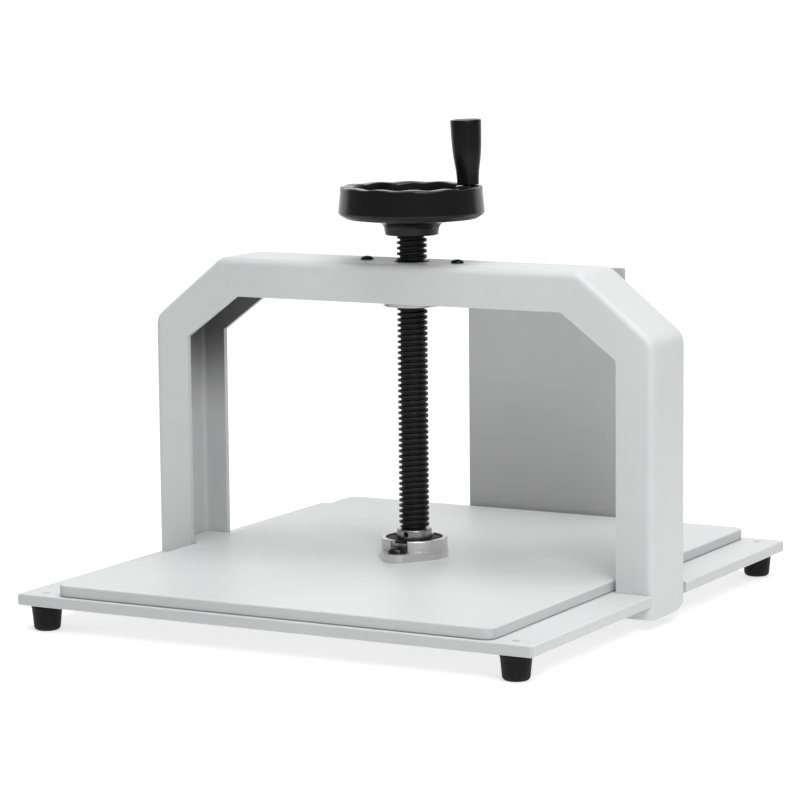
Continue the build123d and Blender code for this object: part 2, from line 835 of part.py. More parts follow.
def main():
    """Build every piece and write it."""
    os.makedirs("parts", exist_ok=True)
    nodes = gate_pieces()
    corner_names = ("foot_front_left", "foot_rear_left", "foot_front_right", "foot_rear_right")
    for name, (x, y) in zip(corner_names, foot_places()):
        nodes[name] = foot(x, y)
    for make in (
        base_plate, tie_bar, tie_screws, foot_screws, foot_nuts, back_panel, panel_screws,
        nut_carrier, thread_nut, nut_screws, press_plate, bearing_housing, housing_screws, dust_seal,
        bearing_outer_ring, bearing_inner_ring, bearing_balls, lead_screw, journal_collar,
        collar_grub_screw, journal_circlip, handwheel, hub_insert, wheel_key, wheel_washer,
        wheel_screw, handle_spindle, handle_grip, grip_cap,
    ):
        nodes[make.__name__] = make()
    for name, shape in nodes.items():
        write(name, shape)
    print(len(nodes), "nodes written")


main()
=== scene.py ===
"""Looks of a document flattening press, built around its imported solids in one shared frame."""

import json
import logging
import math
from collections.abc import Callable, Sequence
from dataclasses import dataclass, field
from enum import Enum

import bmesh
import bpy
from mathutils import Matrix, Vector


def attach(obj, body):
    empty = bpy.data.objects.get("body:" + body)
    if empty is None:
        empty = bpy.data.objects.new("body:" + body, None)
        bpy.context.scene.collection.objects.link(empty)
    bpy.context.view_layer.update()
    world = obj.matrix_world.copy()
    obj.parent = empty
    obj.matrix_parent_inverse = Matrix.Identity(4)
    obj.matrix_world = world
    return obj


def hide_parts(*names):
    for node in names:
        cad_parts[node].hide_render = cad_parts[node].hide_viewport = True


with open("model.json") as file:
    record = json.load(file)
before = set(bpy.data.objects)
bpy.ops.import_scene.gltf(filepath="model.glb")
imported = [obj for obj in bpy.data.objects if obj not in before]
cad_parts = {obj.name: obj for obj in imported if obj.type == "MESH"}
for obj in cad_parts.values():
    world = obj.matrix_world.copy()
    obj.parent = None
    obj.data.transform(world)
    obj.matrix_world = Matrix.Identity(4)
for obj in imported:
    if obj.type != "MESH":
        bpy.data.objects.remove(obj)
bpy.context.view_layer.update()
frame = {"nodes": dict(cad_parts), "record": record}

MM = 0.001
# The screw's upright axis, at x zero, and the inner end of a solid lathe outline: millimetres.
AXIS_Y = -2.6
NEAR_AXIS = 0.01
LOG = logging.getLogger("press")

Colour = tuple[float, float, float]
Point = tuple[float, float, float]
Outline = list[tuple[float, float]]
Place = Callable[[float, float, float], Point]


class Body(str, Enum):
    """The rigid bodies that the pieces ride on."""

    FRAME = "frame"
    PLATEN = "platen"
    SCREW = "screw"
    GRIP = "grip"


class Ends(Enum):
    """What becomes of the first and last of some rows of vertices."""

    OPEN = "open"
    CAPPED = "capped"
    JOINED = "joined"


# Shader maths


def operator(operation: str, swapped: bool = False) -> Callable[["Wire", "Wire | float"], "Wire"]:
    """Makes a Wire's method that adds one Math node, with the other value first if swapped."""
    return lambda wire, other: wire.math(operation, *((other, wire) if swapped else (wire, other)))


@dataclass(frozen=True)
class Wire:
    """One output socket of a shader tree, usable in plain arithmetic."""

    tree: "Tree"
    socket: bpy.types.NodeSocket

    def math(self, operation: str, *values: "Wire | float") -> "Wire":
        """The result of a Math node with this operation and these inputs."""
        return self.tree.node("ShaderNodeMath", {"operation": operation}, dict(enumerate(values)))

    __add__ = operator("ADD")
    __radd__ = operator("ADD", swapped=True)
    __sub__ = operator("SUBTRACT")
    __rsub__ = operator("SUBTRACT", swapped=True)
    __mul__ = operator("MULTIPLY")
    __rmul__ = operator("MULTIPLY", swapped=True)
    __truediv__ = operator("DIVIDE")
    __pow__ = operator("POWER")
    most = operator("MAXIMUM")

    def size(self) -> "Wire":
        """The value without its sign."""
        return self.math("ABSOLUTE", self)

    def wave(self) -> "Wire":
        """The sine of the value, in radians."""
        return self.math("SINE", self)

    def between(self, low: float, high: float) -> "Wire":
        """A smooth step from 0 at low to 1 at high, or back again where low is the greater."""
        inputs = {"Value": self, "From Min": low, "From Max": high}
        return self.tree.node("ShaderNodeMapRange", {"interpolation_type": "SMOOTHSTEP"}, inputs)


class Tree:
    """A node tree that grows by expressions."""

    def __init__(self, tree: bpy.types.NodeTree, place: str) -> None:
        """Keeps the tree, and adds the texture coordinate that its patterns are read at."""
        self.tree = tree
        self.place = self.node("ShaderNodeTexCoord", output=place)

    def node(
        self, kind: str, settings: dict[str, object] | None = None,
        inputs: dict[str | int, object] | None = None, output: int | str = 0,
    ) -> Wire:
        """Adds any node: its settings first, then the values or links of its sockets.

        Args:
            kind: The node's type.
            settings: Attribute values.
            inputs: Socket name or index to a value or a Wire.
            output: Name or index of the output to hand back.

        Returns:
            The chosen output.
        """
        node = self.tree.nodes.new(kind)
        for name, value in (settings or {}).items():
            setattr(node, name, value)
        for name, value in (inputs or {}).items():
            self.feed(node.inputs[name], value)
        return Wire(self, node.outputs[output])

    def feed(self, socket: bpy.types.NodeSocket, value: object) -> None:
        """Links a Wire into a socket, or sets the socket's own value.

        Args:
            socket: The socket.
            value: A Wire, a number, a vector or a colour.
        """
        if isinstance(value, Wire):
            self.tree.links.new(value.socket, socket)
        elif isinstance(value, tuple) and socket.type == "RGBA":
            socket.default_value = (*value, 1.0)
        else:
            socket.default_value = value

    def xyz(self, vector: Wire | None = None) -> tuple[Wire, Wire, Wire]:
        """The three parts of a vector, by default of the surface's place."""
        split = self.node("ShaderNodeSeparateXYZ", None, {0: vector or self.place}).socket.node
        return tuple(Wire(self, socket) for socket in split.outputs)

    def stretched(self, x: float, y: float, z: float) -> Wire:
        """The surface's place, scaled along each axis."""
        return self.node(
            "ShaderNodeVectorMath", {"operation": "MULTIPLY"}, {0: self.place, 1: (x, y, z)}
        )

    def noise(
        self, grain: float, detail: float = 2.0, rough: float = 0.5, where: Wire | None = None
    ) -> Wire:
        """Noise around 0.5 in clouds of that many metres, at a vector or the surface's place."""
        inputs = {"Scale": 1 / grain, "Detail": detail, "Roughness": rough}
        return self.node("ShaderNodeTexNoise", None, {"Vector": where or self.place, **inputs})

    def cells(self, grain: float) -> Wire:
        """Distance to the nearest of many scattered points, in cells of the given size."""
        return self.node(
            "ShaderNodeTexVoronoi", None, {"Vector": self.place, "Scale": 1 / grain}, "Distance"
        )

    def mix(self, share: Wire | float, first: Wire | Colour, second: Wire | Colour) -> Wire:
        """A colour between two, by share."""
        return self.node(
            "ShaderNodeMix", {"data_type": "RGBA"}, {0: share, 6: first, 7: second}, output=2
        )

    def bump(self, height: Wire, depth: float, over: Wire | None = None) -> Wire:
        """A normal bent by a height, whose unit is a depth in metres, over another if given."""
        inputs = {"Height": height, "Distance": depth, "Strength": 1.0}
        return self.node("ShaderNodeBump", None, inputs | ({"Normal": over} if over else {}))

    def from_axis(self, x: float = 0.0, y: float = AXIS_Y * MM) -> Wire:
        """Distance from an upright axis."""
        px, py, _ = self.xyz()
        return ((px - x) ** 2 + (py - y) ** 2) ** 0.5


class Graph(Tree):
    """A material's node tree around one Principled shader."""

    def __init__(self, name: str) -> None:
        """Makes an empty material with its shader and output.

        Args:
            name: The material's name.
        """
        self.material = bpy.data.materials.new(name)
        self.material.use_nodes = True
        tree = self.material.node_tree
        tree.nodes.clear()
        self.shader = tree.nodes.new("ShaderNodeBsdfPrincipled")
        out = tree.nodes.new("ShaderNodeOutputMaterial")
        tree.links.new(self.shader.outputs["BSDF"], out.inputs["Surface"])
        self.fed: dict[str, object] = {}
        super().__init__(tree, "Object")

    def set(self, **sockets: object) -> None:
        """Feeds the shader's own sockets, named with underscores for spaces."""
        self.fed |= sockets
        for name, value in sockets.items():
            self.feed(self.shader.inputs[name.replace("_", " ")], value)

    def tint(self, share: Wire, colour: Colour) -> None:
        """Mixes a share of a colour over the base colour as it is so far."""
        self.set(Base_Color=self.mix(share, self.fed["Base_Color"], colour))


# Finishes


@dataclass(frozen=True)
class Finish:
    """A named finish, its sizes in metres, that fills a shader in its own way."""

    name: str

    def fill(self, graph: Graph) -> None:
        """Feeds the shader's sockets."""
        raise NotImplementedError

    def material(self) -> bpy.types.Material:
        """Makes the finish.

        Returns:
            The finish as a material.
        """
        graph = Graph(self.name)
        self.fill(graph)
        return graph.material


@dataclass(frozen=True)
class PowderCoat(Finish):
    """Satin powder paint with a fine peel, faint clouding and light scuffs."""

    colour: Colour
    shade: Colour
    roughness: float = 0.42
    cloud_size: float = 0.11
    wave_size: float = 0.014
    scuff_size: float = 0.02
    fleck_size: float = 0.0021
    peel_size: float = 0.0011
    peel_depth: float = 0.00005

    def fill(self, graph: Graph) -> None:
        """Mixes the plain coat.

        Args:
            graph: The material's tree.
        """
        cloud = graph.noise(self.cloud_size, 3.0, 0.55)
        peel = graph.noise(self.peel_size, 1.5)
        wave = graph.noise(self.wave_size, 1.0)
        fleck = graph.cells(self.fleck_size).between(0.16, 0.05)
        scuff = graph.noise(self.scuff_size, 4.0, 0.7, graph.stretched(0.3, 1.0, 1.0))
        scuff = scuff.between(0.62, 0.78)
        tone = graph.mix(cloud.between(0.3, 0.75), self.shade, self.colour)
        tone = graph.mix(peel.between(0.35, 0.7) * 0.12, tone, self.shade)
        rough = self.roughness + (cloud - 0.5) * 0.12 + scuff * 0.06 + fleck * 0.05
        normal = graph.bump(peel + wave * 4.0, self.peel_depth)
        graph.set(Base_Color=tone, Roughness=rough, Normal=normal, Specular_IOR_Level=0.45)


@dataclass(frozen=True)
class PlatePaint(PowderCoat):
    """The plates' paint, with painted shade on their sideways faces, most on those that face front or
    back.
    """

    side_shade_colour: Colour = (0.30, 0.302, 0.306)
    side_shade_share: float = 0.38

    def fill(self, graph: Graph) -> None:
        """Paints shade on what faces sideways, most on what faces front or back.

        Args:
            graph: The material's tree.
        """
        super().fill(graph)
        # Painted shade: faces get darker the more their normal points sideways.
        across, along, _ = graph.xyz(graph.node("ShaderNodeTexCoord", output="Normal"))
        side_shade = (along.size() + across.size() * 0.5).between(0.3, 0.8)
        graph.tint(side_shade * self.side_shade_share, self.side_shade_colour)


@dataclass(frozen=True)
class ScrewPaint(PowderCoat):
    """The feet's painted screw heads, with painted shade in a disc where each one's driving recess is.
    """

    recess_shade_colour: Colour = (0.10, 0.10, 0.102)
    recess_shade_share: float = 0.4
    recess_r: float = 0.0026
    recess_edge_r: float = 0.0034
    screw_x: float = 0.185
    screw_y: float = 0.203

    def fill(self, graph: Graph) -> None:
        """Paints shade in a disc at each screw's middle, standing in for the shade in its driving
        recess.

        Args:
            graph: The material's tree.
        """
        super().fill(graph)
        x, y, _ = graph.xyz()
        off_x, off_y = x.size() - self.screw_x, (y - AXIS_Y * MM).size() - self.screw_y
        # Painted shade: a dark disc for the shade inside each driving recess.
        recess = ((off_x ** 2 + off_y ** 2) ** 0.5).between(self.recess_edge_r, self.recess_r)
        graph.tint(recess * self.recess_shade_share, self.recess_shade_colour)


@dataclass(frozen=True)
class GatePaint(PowderCoat):
    """The gate's paint: ground weld lines on its mitres with a painted highlight along them, and
    painted shade deep in its hollow.
    """

    # A lighter tone painted along the weld lines as a highlight; the ridge's grain and height are
    # bumped.
    weld_highlight_colour: Colour = (0.64, 0.643, 0.648)
    weld_highlight_share: float = 0.18
    weld_half: float = 0.0003
    weld_fade: float = 0.0016
    weld_grain: float = 0.005
    weld_height: float = 0.00006
    # Painted shade in the gate's hollow: a dark colour, full above the upper height and faint below the
    # lower one.
    hollow_shade_colour: Colour = (0.16, 0.16, 0.162)
    hollow_shade_least: float = 0.06
    hollow_shade_from: float = 0.115
    hollow_shade_full: float = 0.195
    hollow_half: float = 0.0240
    hollow_side: float = 0.1995
    hollow_top: float = 0.2455
    knee_wall: float = 0.004
    blur: float = 0.001
    mouth_blur: float = 0.0004
    # Outer and inner corner of the right knee's two mitres: x and z, millimetres.
    mitres: tuple = (((203.5, 203.8), (175.0, 189.5)), ((146.2, 249.8), (132.5, 221.3)))

    def seam(self, graph: Graph) -> Wire:
        """Finds the mitres' filled weld lines.

        Args:
            graph: The material's tree.

        Returns:
            One on a weld line, and zero elsewhere.
        """
        x, _, z = graph.xyz()
        x = x.size()
        total = None
        for (ox, oz), (ix, iz) in self.mitres:
            length = math.hypot(ox - ix, oz - iz)
            nx, nz = (iz - oz) / length, (ox - ix) / length
            off = (x * nx + z * nz - (ix * nx + iz * nz) * MM).size()
            line = 1 - off.between(self.weld_half, self.weld_fade)
            total = line if total is None else total.most(line)
        return total

    def hollow(self, graph: Graph) -> Wire:
        """Finds where shade is painted, inside the knees, the beam and the columns.

        Args:
            graph: The material's tree.

        Returns:
            One in the hollow's upper part, little in its lower part, and zero outside.
        """
        x, y, z = graph.xyz()
        x = x.size()
        off = (y - AXIS_Y * MM).size()
        across = off.between(self.hollow_half, self.hollow_half - self.mouth_blur)
        side = x.between(self.hollow_side, self.hollow_side - self.blur)
        top = z.between(self.hollow_top, self.hollow_top - self.blur)
        (ox, oz), (tx, tz) = self.mitres[0][0], self.mitres[1][0]
        run = math.hypot(ox - tx, tz - oz)
        nx, nz = (tz - oz) / run, (ox - tx) / run
        depth = (nx * ox + nz * oz) * MM - x * nx - z * nz
        knee = depth.between(self.knee_wall, self.knee_wall + self.blur)
        high = z.between(self.hollow_shade_from, self.hollow_shade_full)
        return across * side * top * knee * (self.hollow_shade_least + (1 - self.hollow_shade_least) * high)

    def fill(self, graph: Graph) -> None:
        """Adds the weld lines with a painted highlight along them, and the painted shade in the hollow.

        Args:
            graph: The material's tree.
        """
        super().fill(graph)
        seam = self.seam(graph)
        # Painted highlight: a lighter tone along each weld line, on top of its bumped ridge.
        graph.tint(seam * self.weld_highlight_share, self.weld_highlight_colour)
        # Painted shade inside the hollow, darkest high up in the knees.
        graph.tint(self.hollow(graph), self.hollow_shade_colour)
        ridge = seam * (0.7 + 0.6 * graph.noise(self.weld_grain))
        normal = graph.bump(ridge, self.weld_height, graph.fed["Normal"])
        graph.set(Roughness=graph.fed["Roughness"] + seam * 0.08, Normal=normal)


@dataclass(frozen=True)
class TurnedMetal(Finish):
    """Metal with fine turning rings around an upright axis, and handling marks."""

    colour: Colour
    dark: Colour
    roughness: float = 0.26
    ring: float = 0.00042
    depth: float = 0.000012
    stain: float = 0.35
    streak: float = 1.0
    stain_size: float = 0.009
    wobble_size: float = 0.006
    speck_size: float = 0.0013

    def fill(self, graph: Graph) -> None:
        """Adds the rings, then stains and specks.

        Args:
            graph: The material's tree.
        """
        _, _, z = graph.xyz()
        rings = (graph.from_axis() + z) * (2 * math.pi / self.ring)
        tool = (rings + graph.noise(self.wobble_size, 3.0, 0.6) * 5.0).wave()
        cloud = graph.noise(self.stain_size, 4.0, 0.6, graph.stretched(self.streak, self.streak, 1.0))
        speck = graph.cells(self.speck_size).between(0.14, 0.04)
        tone = graph.mix(cloud.between(0.42, 0.75) * self.stain, self.colour, self.dark)
        tone = graph.mix(speck * 0.3, tone, self.dark)
        rough = self.roughness + cloud.between(0.35, 0.8) * self.stain * 0.4 + tool * 0.03
        graph.set(Base_Color=tone, Roughness=rough, Normal=graph.bump(tool, self.depth))
        graph.set(Metallic=1.0, Anisotropic=0.35)


@dataclass(frozen=True)
class PlatedSteel(Finish):
    """Bright zinc plate with a faint cool and warm play and small dull spots."""

    colour: Colour = (0.62, 0.63, 0.64)
    warm: Colour = (0.63, 0.60, 0.52)
    cool: Colour = (0.50, 0.55, 0.62)
    play_size: float = 0.004
    spot_size: float = 0.0011
    skin_size: float = 0.0007
    skin_depth: float = 0.00001

    def fill(self, graph: Graph) -> None:
        """Mixes the plate's three tones and its spots.

        Args:
            graph: The material's tree.
        """
        play = graph.noise(self.play_size, 3.0, 0.6)
        spot = graph.cells(self.spot_size).between(0.2, 0.05)
        tone = graph.mix(play.between(0.5, 0.75) * 0.5, self.colour, self.warm)
        tone = graph.mix(play.between(0.5, 0.3) * 0.4, tone, self.cool)
        rough = 0.24 + play * 0.12 + spot * 0.2
        normal = graph.bump(graph.noise(self.skin_size), self.skin_depth)
        graph.set(Base_Color=tone, Roughness=rough, Normal=normal, Metallic=1.0)


@dataclass(frozen=True)
class BlackOxide(Finish):
    """Oiled black oxide steel: dull in the roots, rubbed brighter on the crests."""

    roughness: float = 0.46
    specular: float = 0.3
    colour: Colour = (0.007, 0.007, 0.0075)
    rubbed: Colour = (0.030, 0.029, 0.028)
    rust: Colour = (0.020, 0.015, 0.012)
    crest: float = 0.0108
    crest_blur: float = 0.0004
    cloud_size: float = 0.012
    streak_size: float = 0.0016
    skin_size: float = 0.0005
    skin_depth: float = 0.00003

    def fill(self, graph: Graph) -> None:
        """Rubs the crests and adds faint streaks of rust.

        Args:
            graph: The material's tree.
        """
        cloud = graph.noise(self.cloud_size, 4.0, 0.65)
        streak = graph.noise(self.streak_size, where=graph.stretched(1.0, 1.0, 0.08))
        crest = graph.from_axis().between(self.crest - self.crest_blur, self.crest)
        worn = crest * cloud.between(0.3, 0.7)
        tone = graph.mix(worn * 0.7, self.colour, self.rubbed)
        tone = graph.mix(streak.between(0.6, 0.8) * 0.35, tone, self.rust)
        rough = self.roughness - worn * 0.14 + (cloud - 0.5) * 0.16
        normal = graph.bump(graph.noise(self.skin_size, 3.0, 0.6), self.skin_depth)
        graph.set(Base_Color=tone, Roughness=rough, Normal=normal, Metallic=worn * 0.5 + 0.2)
        graph.set(Specular_IOR_Level=self.specular)


@dataclass(frozen=True)
class BlackMoulding(Finish):
    """Polished black moulding: slight flow waves, hairline scratches and dust in its hollows."""

    roughness: float = 0.2
    specular: float = 0.26
    colour: Colour = (0.0055, 0.0055, 0.006)
    dusty: Colour = (0.03, 0.03, 0.031)
    cloud_size: float = 0.02
    hair_size: float = 0.0009
    dust_size: float = 0.0012
    flow_size: float = 0.006
    flow_depth: float = 0.00008

    def fill(self, graph: Graph) -> None:
        """Adds scratches, dust and flow waves.

        Args:
            graph: The material's tree.
        """
        cloud = graph.noise(self.cloud_size, 3.0, 0.6)
        hair = graph.noise(self.hair_size, 2.0, 0.6, graph.stretched(1.0, 0.12, 0.5))
        hair = hair.between(0.66, 0.74)
        dust = graph.noise(self.dust_size, 3.0, 0.7).between(0.6, 0.8)
        tone = graph.mix(dust * cloud * 0.5, self.colour, self.dusty)
        rough = self.roughness + (cloud - 0.5) * 0.1 + hair * 0.12 + dust * 0.06
        normal = graph.bump(graph.noise(self.flow_size, 1.0) + hair * 0.05, self.flow_depth)
        graph.set(Base_Color=tone, Roughness=rough, Normal=normal, Specular_IOR_Level=self.specular)


@dataclass(frozen=True)
class FootRubber(Finish):
    """Matt black rubber with a pebbled skin and floor dust low down."""

    colour: Colour = (0.005, 0.005, 0.0055)
    dusty: Colour = (0.035, 0.034, 0.032)
    pebble_size: float = 0.0008
    pebble_depth: float = 0.00005
    dust_size: float = 0.003
    dust_top: float = 0.007

    def fill(self, graph: Graph) -> None:
        """Adds the pebbles and the dust.

        Args:
            graph: The material's tree.
        """
        _, _, z = graph.xyz()
        pebble = graph.noise(self.pebble_size, 3.0, 0.6)
        low = z.between(self.dust_top, 0.0) * graph.noise(self.dust_size, 3.0).between(0.35, 0.7)
        tone = graph.mix(low * 0.6, self.colour, self.dusty)
        rough = 0.5 + pebble * 0.14 + low * 0.2
        normal = graph.bump(pebble, self.pebble_depth)
        graph.set(Base_Color=tone, Roughness=rough, Normal=normal, Specular_IOR_Level=0.16)


@dataclass(frozen=True)
class StudioFloor(Finish):
    """Pale seamless floor, softly lit from below, that fades out far away."""

    name: str = "studio_floor"
    colour: Colour = (0.50, 0.50, 0.50)
    clouded: Colour = (0.48, 0.48, 0.48)
    cloud_size: float = 0.8
    glow: float = 0.6
    fade_from: float = 0.8
    fade_to: float = 2.0

    def fill(self, graph: Graph) -> None:
        """Adds the clouding, the glow and the fading edge.

        Args:
            graph: The material's tree.
        """
        cloud = graph.noise(self.cloud_size)
        tone = graph.mix(cloud * 0.2, self.colour, self.clouded)
        away = graph.from_axis(0.0, 0.0)
        graph.set(Base_Color=tone, Roughness=0.7 + cloud * 0.1)
        graph.set(Alpha=away.between(self.fade_to, self.fade_from), Specular_IOR_Level=0.1)
        graph.set(Emission_Color=(1.0, 1.0, 1.0), Emission_Strength=self.glow)


# Mesh making


@dataclass(frozen=True)
class Corner:
    """One corner of a lathe outline: radius from the axis, height, and rounding."""

    r: float
    z: float
    rounding: float = 0.0


def rounded(corners: Sequence[Corner], closed: bool, steps: int = 6) -> Outline:
    """Points along an outline whose corners are rounded.

    Args:
        corners: The sharp corners, in order.
        closed: Whether the last corner joins the first.
        steps: Points on each rounding, less one.

    Returns:
        The outline as (radius, height) points, in millimetres.
    """
    points: Outline = []
    count = len(corners)
    for i, corner in enumerate(corners):
        here = Vector((corner.r, corner.z))
        inner = closed or 0 < i < count - 1
        if not corner.rounding or not inner:
            points.append((here.x, here.y))
            continue
        before = corners[i - 1]
        after = corners[(i + 1) % count]
        a = (Vector((before.r, before.z)) - here).normalized()
        b = (Vector((after.r, after.z)) - here).normalized()
        half = math.acos(max(-1.0, min(1.0, a.dot(b)))) / 2
        run = corner.rounding / math.tan(half)
        centre = here + (a + b).normalized() * (corner.rounding / math.sin(half))
        start = here + a * run - centre
        turn = start.angle_signed(here + b * run - centre)
        for k in range(steps + 1):
            c, s = math.cos(-turn * k / steps), math.sin(-turn * k / steps)
            r, z = centre.x + start.x * c - start.y * s, centre.y + start.x * s + start.y * c
            points.append((r, z))
    return points


@dataclass(frozen=True)
class Upright:
    """A lathe placement about an upright axis, in millimetres."""

    x: float = 0.0
    y: float = AXIS_Y

    def __call__(self, r: float, z: float, angle: float) -> Point:
        """The point at that radius, height and angle."""
        return self.x + r * math.cos(angle), self.y + r * math.sin(angle), z


@dataclass(frozen=True)
class OnRim:
    """A placement about the handle's axis, which leans a little towards the wheel's middle."""

    orbit: float = 41.0
    turn: float = math.radians(30.0)
    lean: float = math.radians(1.9)
    foot: float = 304.5

    def __call__(self, r: float, z: float, angle: float) -> Point:
        """Leans a lathe point about the foot, then turns it round the wheel.

        Args:
            r: Its radius from the handle's axis.
            z: Its height before the axis leans.
            angle: Its angle about the handle's axis.

        Returns:
            The point, in millimetres.
        """
        up = z - self.foot
        x = r * math.cos(angle) * math.cos(self.lean) - up * math.sin(self.lean) + self.orbit
        y = r * math.sin(angle)
        height = self.foot + r * math.cos(angle) * math.sin(self.lean) + up * math.cos(self.lean)
        c, s = math.cos(self.turn), math.sin(self.turn)
        return x * c - y * s, AXIS_Y + x * s + y * c, height


def to_object(bm: bmesh.types.BMesh, name: str) -> bpy.types.Object:
    """Turns a mesh being made into an object of the scene.

    Args:
        bm: The mesh, which is freed.
        name: Name of the object and of its mesh.

    Returns:
        The object.
    """
    mesh = bpy.data.meshes.new(name)
    bm.to_mesh(mesh)
    bm.free()
    item = bpy.data.objects.new(name, mesh)
    bpy.context.scene.collection.objects.link(item)
    return item


@dataclass
class Piece:
    """One mesh piece being made, in millimetres, in the shared frame."""

    name: str
    bm: bmesh.types.BMesh = field(default_factory=bmesh.new)

    def ring(self, points: Sequence[Point | Vector]) -> list[bmesh.types.BMVert]:
        """Adds one row of vertices."""
        return [self.bm.verts.new(Vector(p) * MM) for p in points]

    def skin(self, rows: Sequence[list], ends: Ends, across: bool = True) -> None:
        """Joins rows of vertices with quads.

        Args:
            rows: Rows of equal length.
            ends: What becomes of the first and last row.
            across: Whether each row closes on itself.
        """
        pairs = list(zip(rows, rows[1:]))
        if ends is Ends.JOINED:
            pairs.append((rows[-1], rows[0]))
        for low, high in pairs:
            count = len(low)
            for i in range(count if across else count - 1):
                j = (i + 1) % count
                quad = list(dict.fromkeys((low[i], low[j], high[j], high[i])))
                if len(quad) > 2:
                    self.bm.faces.new(quad)
        if ends is Ends.CAPPED:
            self.bm.faces.new(rows[0])
            self.bm.faces.new(rows[-1])

    def lathe(
        self, corners: Sequence[Corner], place: Place, segments: int = 64, ends: Ends = Ends.CAPPED
    ) -> None:
        """Turns an outline about its axis.

        Args:
            corners: The outline's corners, in order.
            place: The placement of each turned point.
            segments: Points around the axis.
            ends: Whether both ends are capped, or joined round a hollow.
        """
        angles = [2 * math.pi * k / segments for k in range(segments)]
        outline = rounded(corners, ends is Ends.JOINED)
        self.skin([self.ring([place(r, z, a) for a in angles]) for r, z in outline], ends)

    def drill(self, middle: Point, radius: float, length: float) -> None:
        """Cuts a round hole that runs front to back.

        Args:
            middle: The hole's middle, in millimetres.
            radius: Its radius.
            length: How far it runs in all.
        """
        core = bmesh.new()
        aim = Matrix.Translation(Vector(middle) * MM) @ Matrix.Rotation(math.pi / 2, 4, "X")
        bmesh.ops.create_cone(
            core, cap_ends=True, segments=32, radius1=radius * MM, radius2=radius * MM,
            depth=length * MM, matrix=aim)
        for solid in (self.bm, core):
            bmesh.ops.recalc_face_normals(solid, faces=solid.faces)
        scratch = [to_object(solid, "scratch") for solid in (self.bm, core)]
        cut = scratch[0].modifiers.new("hole", "BOOLEAN")
        cut.object = scratch[1]
        cut.solver = "EXACT"
        drilled = scratch[0].evaluated_get(bpy.context.evaluated_depsgraph_get())
        self.bm = bmesh.new()
        self.bm.from_mesh(drilled.to_mesh())
        drilled.to_mesh_clear()
        for item in scratch:
            mesh = item.data
            bpy.data.objects.remove(item)
            bpy.data.meshes.remove(mesh)

    def done(
        self, body: Body, material: bpy.types.Material, slot: str,
        stands_for: Sequence[str], sharp: float = 32.0,
    ) -> None:
        """Turns the mesh into a dressed object of the scene.

        Args:
            body: The body that it rides on.
            material: Its finish.
            slot: The record's material slot; not used.
            stands_for: CAD nodes that it replaces.
            sharp: Angle in degrees above which an edge stays sharp.
        """
        bmesh.ops.remove_doubles(self.bm, verts=self.bm.verts, dist=1e-6)
        bmesh.ops.recalc_face_normals(self.bm, faces=self.bm.faces)
        item = to_object(self.bm, self.name)
        mesh = item.data
        mesh.shade_smooth()
        mesh.set_sharp_from_angle(angle=math.radians(sharp))
        mesh.materials.append(material)
        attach(item, body.value)
        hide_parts(*stands_for)
        LOG.info("%s: %d faces, on %s", self.name, len(mesh.polygons), body.value)


# Sub-assemblies


@dataclass
class Palette:
    """All the finishes of the press, made once."""

    finishes: tuple[Finish, ...] = (
        GatePaint("gate_paint", (0.585, 0.588, 0.592), (0.555, 0.558, 0.563)),
        PlatePaint("plate_paint", (0.60, 0.603, 0.607), (0.565, 0.568, 0.573), roughness=0.46),
        ScrewPaint("screw_paint", (0.60, 0.603, 0.607), (0.565, 0.568, 0.573), roughness=0.46),
        PowderCoat("panel_paint", (0.455, 0.457, 0.461), (0.425, 0.427, 0.431), roughness=0.36),
        TurnedMetal("bare_steel", (0.70, 0.70, 0.695), (0.42, 0.415, 0.41),
                    roughness=0.32, ring=0.0011, depth=0.000006, stain=0.5, streak=0.1),
        TurnedMetal("ground_steel", (0.31, 0.31, 0.312), (0.19, 0.19, 0.19),
                    roughness=0.27, ring=0.0006, depth=0.000001, stain=0.12, streak=0.1),
        TurnedMetal("bearing_steel", (0.70, 0.70, 0.71), (0.45, 0.45, 0.45),
                    roughness=0.12, stain=0.15),
        TurnedMetal("bronze", (0.55, 0.36, 0.16), (0.28, 0.16, 0.07), roughness=0.3, stain=0.4),
        PlatedSteel("zinc_steel"),
        BlackOxide("blackened_steel"),
        BlackOxide("oiled_steel", roughness=0.2, specular=0.5),
        FootRubber("foot_rubber"),
        BlackMoulding("black_phenolic"),
        BlackMoulding("grip_moulding", roughness=0.3, specular=0.22),
    )
    made: dict[str, bpy.types.Material] = field(init=False)

    def __post_init__(self) -> None:
        """Makes every finish."""
        self.made = {finish.name: finish.material() for finish in self.finishes}

    def dress_frame(self) -> None:
        """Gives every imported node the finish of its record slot, and two nodes one of their own."""
        record_slots = {s["node"]: s["material_slot"] for s in frame["record"]["subparts"]}
        by_slot = {"light_grey_paint": "gate_paint"}
        by_node = {"foot_screws": "screw_paint", "handle_spindle": "blackened_steel"}
        for node, item in frame["nodes"].items():
            slot = record_slots[node]
            material = self.made[by_node.get(node, by_slot.get(slot, slot))]
            if not item.data.materials:
                item.data.materials.append(material)
            for entry in item.material_slots:
                entry.material = material
            LOG.info("%s: dressed as %s", node, material.name)


@dataclass
class SubAssembly:
    """Pieces that are built together, with the finishes they take; sizes are in millimetres."""

    palette: Palette

    def build(self) -> None:
        """Makes the pieces and dresses them."""
        raise NotImplementedError


